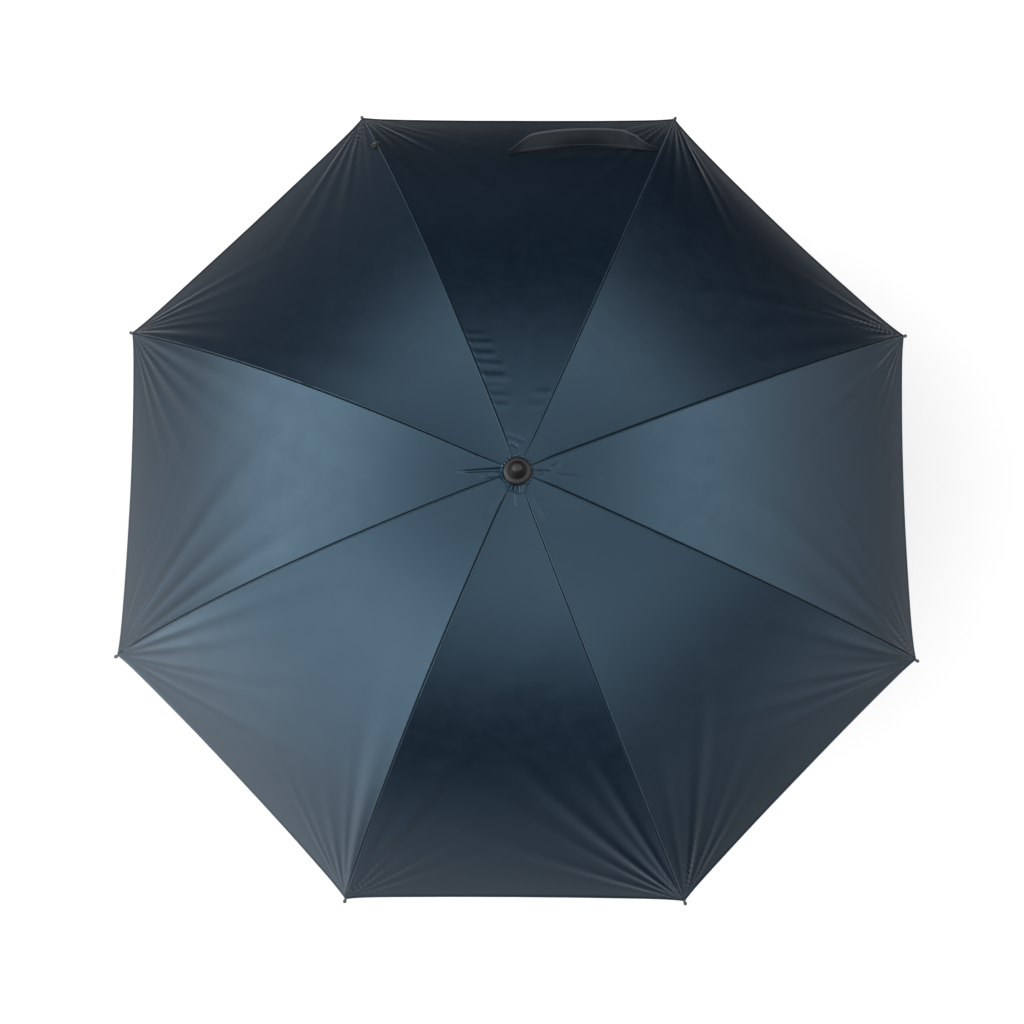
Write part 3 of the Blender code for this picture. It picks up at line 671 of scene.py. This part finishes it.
def build_seam(name, k, r, stitched, crease_shade):
    flip = -1 if k in FLIPPED_SEAMS else 1
    section = seam_section(k)
    points = seam_points(k, flip, section, r)
    rows, cols = points.shape[:2]
    faces, uvs, kinds = [], [], []
    for i in range(rows - 1):
        for j in range(cols):
            m = (j + 1) % cols
            face = [(i, j), (i, m), (i + 1, m), (i + 1, j)][::flip]
            faces.append([row * cols + col for row, col in face])
            uvs += [(r[row], section[col][0]) for row, col in face]
            kinds.append(section[j][2] if m else 0)
    ends = [list(range(cols))[::-flip], list(range((rows - 1) * cols, rows * cols))[::flip]]
    uvs += [(0.0, 0.0)] * (2 * cols)
    obj = mesh_object(name, points.reshape(-1, 3), faces + ends, [stitched, crease_shade], kinds + [0, 0], 60.0)
    obj.data.uv_layers.new(name="cloth").data.foreach_set("uv", np.array(uvs, np.float32).ravel())
    return obj


def build_seams(stitched, crease_shade):
    for k in range(1, RIBS + 1):
        for part, start, end in (("inner", SEAM_FROM, FLEX_AT), ("outer", FLEX_AT, SEAM_TO)):
            obj = build_seam(f"seam_{k}_{part}", k, np.linspace(start, end, 90), stitched, crease_shade)
            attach(obj, f"rib_{k}_end" if part == "outer" else f"rib_{k}")


# ---------------------------------------------------------------- crown: rosette, cap and ferrule


def build_rosette(cloth):
    """The gathered disc under the cap: pleats that are deep on one side and nearly flat on the other."""
    rows, cols = 26, 360
    a = np.linspace(0, 2 * math.pi, cols, endpoint=False)
    south = np.exp(-((a - 1.5 * math.pi) / 0.62) ** 2)
    west = np.exp(-((a - 1.05 * math.pi) / 0.55) ** 2)
    reach = 0.0158 + 0.0070 * south + 0.0020 * west + 0.0005 * np.sin(23 * a) + 0.0007 * np.sin(9 * a + 1)
    deep = 0.00035 + 0.00050 * south + 0.00030 * west
    t = np.linspace(0, 1, rows)[:, None]
    r = ROSETTE_HOLE + (reach - ROSETTE_HOLE)[None, :] * t
    phase = 27 * a + 0.9 * np.sin(3 * a + 0.5) + 0.6 * np.sin(7 * a)
    pleat = np.cos(phase)[None, :] + 0.35 * np.cos(2 * phase + 0.8)[None, :]
    base = OVER_HINGES + 0.0013 - RISE * (r / SPREAD) ** POWER
    grow = smooth(r, 0.0118, 0.0152)
    z = base + deep[None, :] * pleat * grow + 0.0010 * grow * (1 - smooth(t, 0.72, 1.0))
    z = z + 0.0004 * smooth(t, 0.9, 1.0)
    swing = a[None, :] + 0.35 * (deep / r) * np.sin(phase) * grow
    points = np.stack([r * np.cos(swing), r * np.sin(swing), z + CROWN_Z], -1)
    down = np.gradient(points, axis=0)
    over = np.roll(points, -1, 1) - np.roll(points, 1, 1)
    normals = np.cross(down, over)
    normals /= np.linalg.norm(normals, axis=-1, keepdims=True)
    uv = np.stack([r * np.cos(a), r * np.sin(a)], -1)
    plain = np.zeros((rows, cols))
    obj = shell("ruffled_rosette", points, normals, ROSETTE_THICK, cloth, uv, plain, loop=True)
    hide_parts("rosette")
    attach(obj, "shaft_and_handle")


def place_on_crown(obj, node):
    obj.location.z = CROWN_Z
    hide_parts(node)
    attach(obj, "shaft_and_handle")


def build_top(plastic):
    top, bottom = CAP_TOP, CAP_BOTTOM
    profile = [(BORE, top), (0.0099, top), (0.0105, top - 0.00005), (0.0116, top - 0.0003),
               (0.0126, top - 0.0008), (0.0133, top - 0.0014), (0.0138, top - 0.0021),
               (CAP_R, bottom + 0.0009), (CAP_R - 0.0001, bottom + 0.0003), (CAP_R - 0.0005, bottom),
               (BORE, bottom)]
    place_on_crown(lathe("clamping_cap", profile, plastic, steps=96), "top_cap")
    top, foot = FERRULE_TOP, FERRULE_FOOT
    profile = [(0.0, top), (0.0027, top), (0.0037, top - 0.0004), (0.0048, top - 0.0012),
               (0.0055, top - 0.0024), (0.0058, top - 0.0040), (0.0062, top - 0.0070),
               (0.0069, top - 0.0110), (0.0079, top - 0.0148), (0.0086, foot + 0.0040),
               (0.0089, foot + 0.0026), (0.0090, foot + 0.0018), (0.0092, foot + 0.0014), (0.0092, foot),
               (BORE, foot), (BORE, FERRULE_HOLE), (0.0, FERRULE_HOLE)]
    place_on_crown(lathe("blunt_ferrule", profile, plastic, steps=96), "ferrule")


def build_tips(plastic):
    """Each tip is turned about the rib's own line, with a ball end and a sewing groove."""
    end = TIP_LONG
    profile = [(0.0, end), (0.0008, end - 0.00008), (0.0014, end - 0.0004), (0.0018, end - 0.0010),
               (0.0022, end - 0.0018), (0.0022, end - 0.0028), (0.0020, end - 0.0040), (0.0018, end - 0.0050),
               (0.0017, end - 0.0072), (0.0014, end - 0.0085), (0.0015, end - 0.0092), (0.0015, 0.0036),
               (0.0018, 0.0026), (0.0019, 0.0022), (0.0019, 0.0002), (0.0018, 0.0), (0.0, 0.0)]
    lean = float(lean_at(ROD_END / SPREAD))
    for k in range(1, RIBS + 1):
        obj = lathe(f"tip_cap_{k}", profile, plastic, steps=32)
        a = rib_azimuth(k)
        spot = rib_spot(k, ROD_END, RIB_UNDER_CLOTH)
        along = Vector((math.cos(a) * math.cos(lean), math.sin(a) * math.cos(lean), math.sin(lean)))
        spot += along * TIP_CLEAR
        obj.matrix_world = (Matrix.Translation(spot) @ Matrix.Rotation(a, 4, "Z")
                            @ Matrix.Rotation(math.pi / 2 - lean, 4, "Y"))
        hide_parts(f"rib_tip_{k}")
        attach(obj, f"rib_{k}_end")


# ---------------------------------------------------------------- strap and stud


def build_strap(mat, dark):
    """The closing band: sewn flat at the seam, bowed up off the cloth, its free end lying on the panel."""
    pieces, cols = 72, 9
    share = np.linspace(0, 1, pieces)
    rise = np.sin(math.pi * share)
    along, across = STRAP_ALONG + STRAP_BOW * rise, STRAP_ACROSS + STRAP_REACH * share
    spot, normal = cloth_point(STRAP_RIB, along, across), cloth_normal(STRAP_RIB, along, across)
    down = cloth_point(STRAP_RIB, along + 0.01, across) - spot
    down /= np.linalg.norm(down, axis=-1, keepdims=True)
    stand = np.radians(8 + 62 * rise**0.8)
    foot = spot + normal * (0.0019 + 0.0052 * rise)[:, None]
    out = down * np.cos(stand)[:, None] + normal * np.sin(stand)[:, None]
    taper = 0.30 + 0.70 * smooth(share, 0.0, 0.26) * (1 - smooth(share, 0.84, 1.02))
    v = np.linspace(0, 1, cols)
    points = foot[:, None] + out[:, None] * (STRAP_WIDE * taper[:, None] * v)[..., None]
    bend = np.cross(out, np.gradient(foot, axis=0))
    bend /= np.linalg.norm(bend, axis=-1, keepdims=True)
    points += bend[:, None] * (0.0012 * rise[:, None] * np.sin(math.pi * v))[..., None]
    hem = np.minimum(v, 1 - v) * STRAP_WIDE
    points += bend[:, None] * (0.00022 * np.exp(-((hem - 0.0016) / 0.0007) ** 2))[None, :, None]
    normals = grid_normals(points)
    uv = np.stack(np.meshgrid(share * STRAP_LONG, v * STRAP_WIDE, indexing="ij"), -1)
    # Painted shade along both long edges of the strap.
    edge = np.repeat((0.5 * np.exp(-((hem / 0.0006) ** 2)))[None], pieces, 0)
    obj = shell("closing_strap", points + normals * STRAP_THICK / 2, normals, STRAP_THICK, mat, uv, edge)
    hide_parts("tie_strap")
    fold_with_rib(obj, STRAP_RIB, True)
    at = int(SNAP_AT * pieces)
    build_snap(points[at, cols // 2], Vector(normals[at, cols // 2]), dark)


def build_snap(spot, up, dark):
    """The upper half of the press stud, a dished button on the strap's free end."""
    profile = [(0.0, 0.0012), (0.0018, 0.0012), (0.0024, 0.0009), (0.0030, 0.0012), (0.0048, 0.0010),
               (0.0055, 0.0005), (0.0056, 0.0), (0.0, 0.0)]
    snap = lathe("strap_snap", profile, dark, steps=40)
    snap.matrix_world = (Matrix.Translation(Vector(spot) + up * (STRAP_THICK / 2))
                         @ up.to_track_quat("Z", "Y").to_matrix().to_4x4())
    fold_with_rib(snap, STRAP_RIB, True)


def build_stud(dark, metal):
    """The lower half of the press stud: a dark flange and a dull steel knob."""
    profile = [(0.0, 0.0032), (0.0012, 0.0031), (0.0019, 0.0027), (0.0021, 0.0022), (0.0017, 0.0016),
               (0.0019, 0.0013), (0.0036, 0.0012), (0.0048, 0.0009), (0.0054, 0.0005), (0.0055, 0.0),
               (0.0, 0.0)]
    which = [1, 1, 0, 0, 0, 0, 0, 0, 0, 0]
    obj = lathe("strap_stud_knob", profile, [dark, metal], which, steps=40)
    spot = rib_spot(STUD_RIB, STUD_ALONG * SPREAD, -STUD_LIFT)
    obj.matrix_world = (Matrix.Translation(spot) @ Matrix.Rotation(rib_azimuth(STUD_RIB), 4, "Z")
                        @ Matrix.Rotation(-float(lean_at(STUD_ALONG)), 4, "Y"))
    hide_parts("strap_stud")
    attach(obj, f"rib_{STUD_RIB}_end")


# ---------------------------------------------------------------- handle


def crook_line():
    """The handle's middle line and its radii: a waisted grip, a half circle, and a rounded end."""
    grip, bend = 24, 48
    path = [(0.0, 0.0, GRIP_TOP - (GRIP_TOP - CROOK_DROP) * i / grip) for i in range(grip)]
    radii = [GRIP_R - 0.0004 * math.sin(math.pi * i / grip) ** 2 for i in range(grip)]
    for i in range(bend + 1):
        a = math.pi + math.pi * i / bend
        path.append((CROOK_R + CROOK_R * math.cos(a), 0.0, CROOK_DROP + CROOK_R * math.sin(a)))
        radii.append(GRIP_R - 0.0008 * i / bend)
    for share, shrink in ((0.2, 1.0), (0.4, 1.0), (0.6, 1.0), (0.74, 0.98), (0.85, 0.90), (0.93, 0.74),
                          (0.98, 0.5), (1.0, 0.25)):
        path.append((2 * CROOK_R, 0.0, CROOK_DROP + CROOK_RUN * share))
        radii.append((GRIP_R - 0.0008) * shrink)
    radii[0] = GRIP_R - 0.0008
    path.insert(1, (0.0, 0.0, GRIP_TOP - 0.0006))
    radii.insert(1, GRIP_R - 0.0001)
    return path, radii


def build_handle(rubber, chrome):
    path, radii = crook_line()
    handle = sweep("crook_handle", path, radii, rubber, 48)
    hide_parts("handle")
    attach(handle, "shaft_and_handle")
    low, high = COLLAR_FOOT, COLLAR_TOP
    profile = [(BORE, high), (0.0062, high), (0.0066, high - 0.0002), (0.0075, high - 0.0010),
               (0.0079, high - 0.0018), (0.0089, low + 0.0086), (0.0098, low + 0.0052),
               (0.0098, low + 0.0046), (0.0103, low + 0.0042), (0.0106, low + 0.0036),
               (0.0106, low + 0.0004), (0.0104, low), (BORE, low)]
    ring = lathe("collar_ring", profile, chrome, steps=72)
    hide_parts("handle_collar")
    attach(ring, "shaft_and_handle")


# ---------------------------------------------------------------- the CAD pieces that stay


def dress(prefixes, mat):
    """Gives the CAD nodes whose names begin so a finish."""
    for name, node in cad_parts.items():
        if name.startswith(prefixes):
            if not node.data.materials:
                node.data.materials.append(mat)
            for slot in node.material_slots:
                slot.material = mat


# ---------------------------------------------------------------- light, floor and camera

# The studio's softboxes and their spill, in banks by elevation: half width in degrees, and azimuth: strength.
BANKS = {
    -18: (14.0, {180: 0.75, -135: 1.0, -90: 0.5, -45: 0.25, 0: 0.25, 135: 0.25}),
    6: (12.0, {180: 1.0, -154: 4.0, -103: 0.75, -26: 1.25, 0: 0.5, 26: 0.75, 103: 0.25, 129: 0.15}),
    28: (13.0, {180: 4.0, -150: 2.5, -30: 0.25, 0: 1.5, 30: 0.25, 150: 0.25}),
    50: (14.0, {180: 3.0, -135: 2.5, -45: 1.0, 0: 2.5, 45: 1.75, 135: 1.75}),
    70: (15.0, {-90: 1.0, 90: 0.5}),
    90: (15.0, {0: 1.0}),
}
AMBIENT = 0.02
BACKDROP = 1.0
FLOOR_RADIUS = 1.5
UNDER_HANDLE = 0.001


def build_world():
    """Soft lobes of white light on a dim sky. The camera sees a plain white backdrop instead."""
    world = bpy.data.worlds.new("studio")
    bpy.context.scene.world = world
    world.use_nodes = True
    tree = world.node_tree
    tree.nodes.clear()
    new, link = tree.nodes.new, tree.links.new
    sky = new("ShaderNodeTexCoord").outputs["Generated"]

    def work(operation, a, b, kind="Math"):
        node = new("ShaderNode" + kind)
        node.operation = operation
        link(a, node.inputs[0])
        if hasattr(b, "is_output"):
            link(b, node.inputs[1])
        else:
            node.inputs[1].default_value = b
        return node

    total = None
    for elevation, (half_width, boxes) in BANKS.items():
        e = math.radians(elevation)
        sharp = math.log(0.5) / math.log(math.cos(math.radians(half_width)))
        for azimuth, strength in boxes.items():
            a = math.radians(azimuth)
            direction = (math.cos(a) * math.cos(e), math.sin(a) * math.cos(e), math.sin(e))
            facing = work("DOT_PRODUCT", sky, direction, "VectorMath").outputs["Value"]
            lobe = work("POWER", work("MAXIMUM", facing, 0.0).outputs[0], sharp).outputs[0]
            light = work("MULTIPLY", lobe, strength).outputs[0]
            total = work("ADD", total, light).outputs[0] if total else light
    lit, plain = new("ShaderNodeBackground"), new("ShaderNodeBackground")
    link(work("ADD", total, AMBIENT).outputs[0], lit.inputs["Strength"])
    lit.inputs["Color"].default_value = (1.0, 1.0, 1.0, 1.0)
    plain.inputs["Color"].default_value = (1.0, 1.0, 1.0, 1.0)
    plain.inputs["Strength"].default_value = BACKDROP
    mix = new("ShaderNodeMixShader")
    link(new("ShaderNodeLightPath").outputs["Is Camera Ray"], mix.inputs["Fac"])
    link(lit.outputs[0], mix.inputs[1])
    link(plain.outputs[0], mix.inputs[2])
    link(mix.outputs[0], new("ShaderNodeOutputWorld").inputs["Surface"])


def build_floor():
    sides, z = 128, CAD_BOX[0][2] - UNDER_HANDLE
    angles = [2 * math.pi * i / sides for i in range(sides)]
    rim = [(FLOOR_RADIUS * math.cos(a), FLOOR_RADIUS * math.sin(a), z) for a in angles]
    floor = mesh_object("floor", rim, [tuple(range(sides))], floor_finish())


CAMERA_SPOT = (-0.0020, -0.1149, 1.4958)
CAMERA_TURN = (5.13, 0.18, 0.29)  # degrees about X, Y and Z, from looking straight down
CAMERA_LENS = 29.47  # mm, on a 36 mm sensor


def build_camera():
    lens = bpy.data.cameras.new("camera")
    lens.lens = CAMERA_LENS
    lens.sensor_width = 36.0
    lens.clip_end = 50.0
    camera = bpy.data.objects.new("camera", lens)
    camera.location = CAMERA_SPOT
    camera.rotation_euler = [math.radians(turn) for turn in CAMERA_TURN]
    bpy.context.scene.collection.objects.link(camera)
    bpy.context.scene.camera = camera


# ---------------------------------------------------------------- assembly


def main():
    cloth = cloth_finish("canopy_cloth", (0.0008, 0.0040, 0.0100), (0.0020, 0.0065, 0.0145)).mat
    # Painted highlight: the seam's standing edge is coloured paler than the canopy, as where its ridge
    # catches the light.
    seam = stitched_finish("seam_cloth_painted_highlight", (0.006, 0.014, 0.024), (0.012, 0.023, 0.036), THREAD_ON_SEAM).mat
    # Painted shade: the fold beside each seam gets this near-black cloth.
    crease_shade = crease_shade_finish()
    strap = strap_finish()
    plastic = plastic_finish("black_plastic_look", (0.0095, 0.0078, 0.0074), 0.48, worn=(0.030, 0.026, 0.025))
    tip = plastic_finish("tip_plastic_look", (0.055, 0.050, 0.050), 0.38, worn=(0.16, 0.15, 0.15))
    dark_metal = metal_finish("stud_enamel", (0.010, 0.011, 0.013), 0.32, painted=True)
    steel = metal_finish("plated_steel", (0.62, 0.61, 0.59), 0.28)
    dull_steel = metal_finish("dull_steel", (0.20, 0.20, 0.19), 0.45)
    black = metal_finish("black_steel_look", (0.020, 0.020, 0.022), 0.36, painted=True)
    chrome = metal_finish("chrome_look", (0.80, 0.80, 0.81), 0.10, spots=0.1)
    fibre = plastic_finish("fibreglass_look", (0.026, 0.026, 0.028), 0.30, 2200.0, 0.00002)
    rubber = handle_finish()
    dress(("shaft", "rib_inner", "stretcher"), black)
    dress(("crown", "runner"), plastic)
    dress(("crown_wire", "runner_wire", "stop_ring", "top_catch", "bottom_catch"), steel)
    dress(("rib_outer",), fibre)
    build_canopy(cloth)
    build_seams(seam, crease_shade)
    build_rosette(cloth)
    build_top(plastic)
    build_tips(tip)
    build_strap(strap, dark_metal)
    build_stud(dark_metal, dull_steel)
    build_handle(rubber, chrome)
    build_floor()
    build_world()
    build_camera()
    scene = bpy.context.scene
    scene.view_settings.view_transform = "Standard"
    scene.view_settings.look = "None"
    scene.view_settings.exposure = 0.0


main()
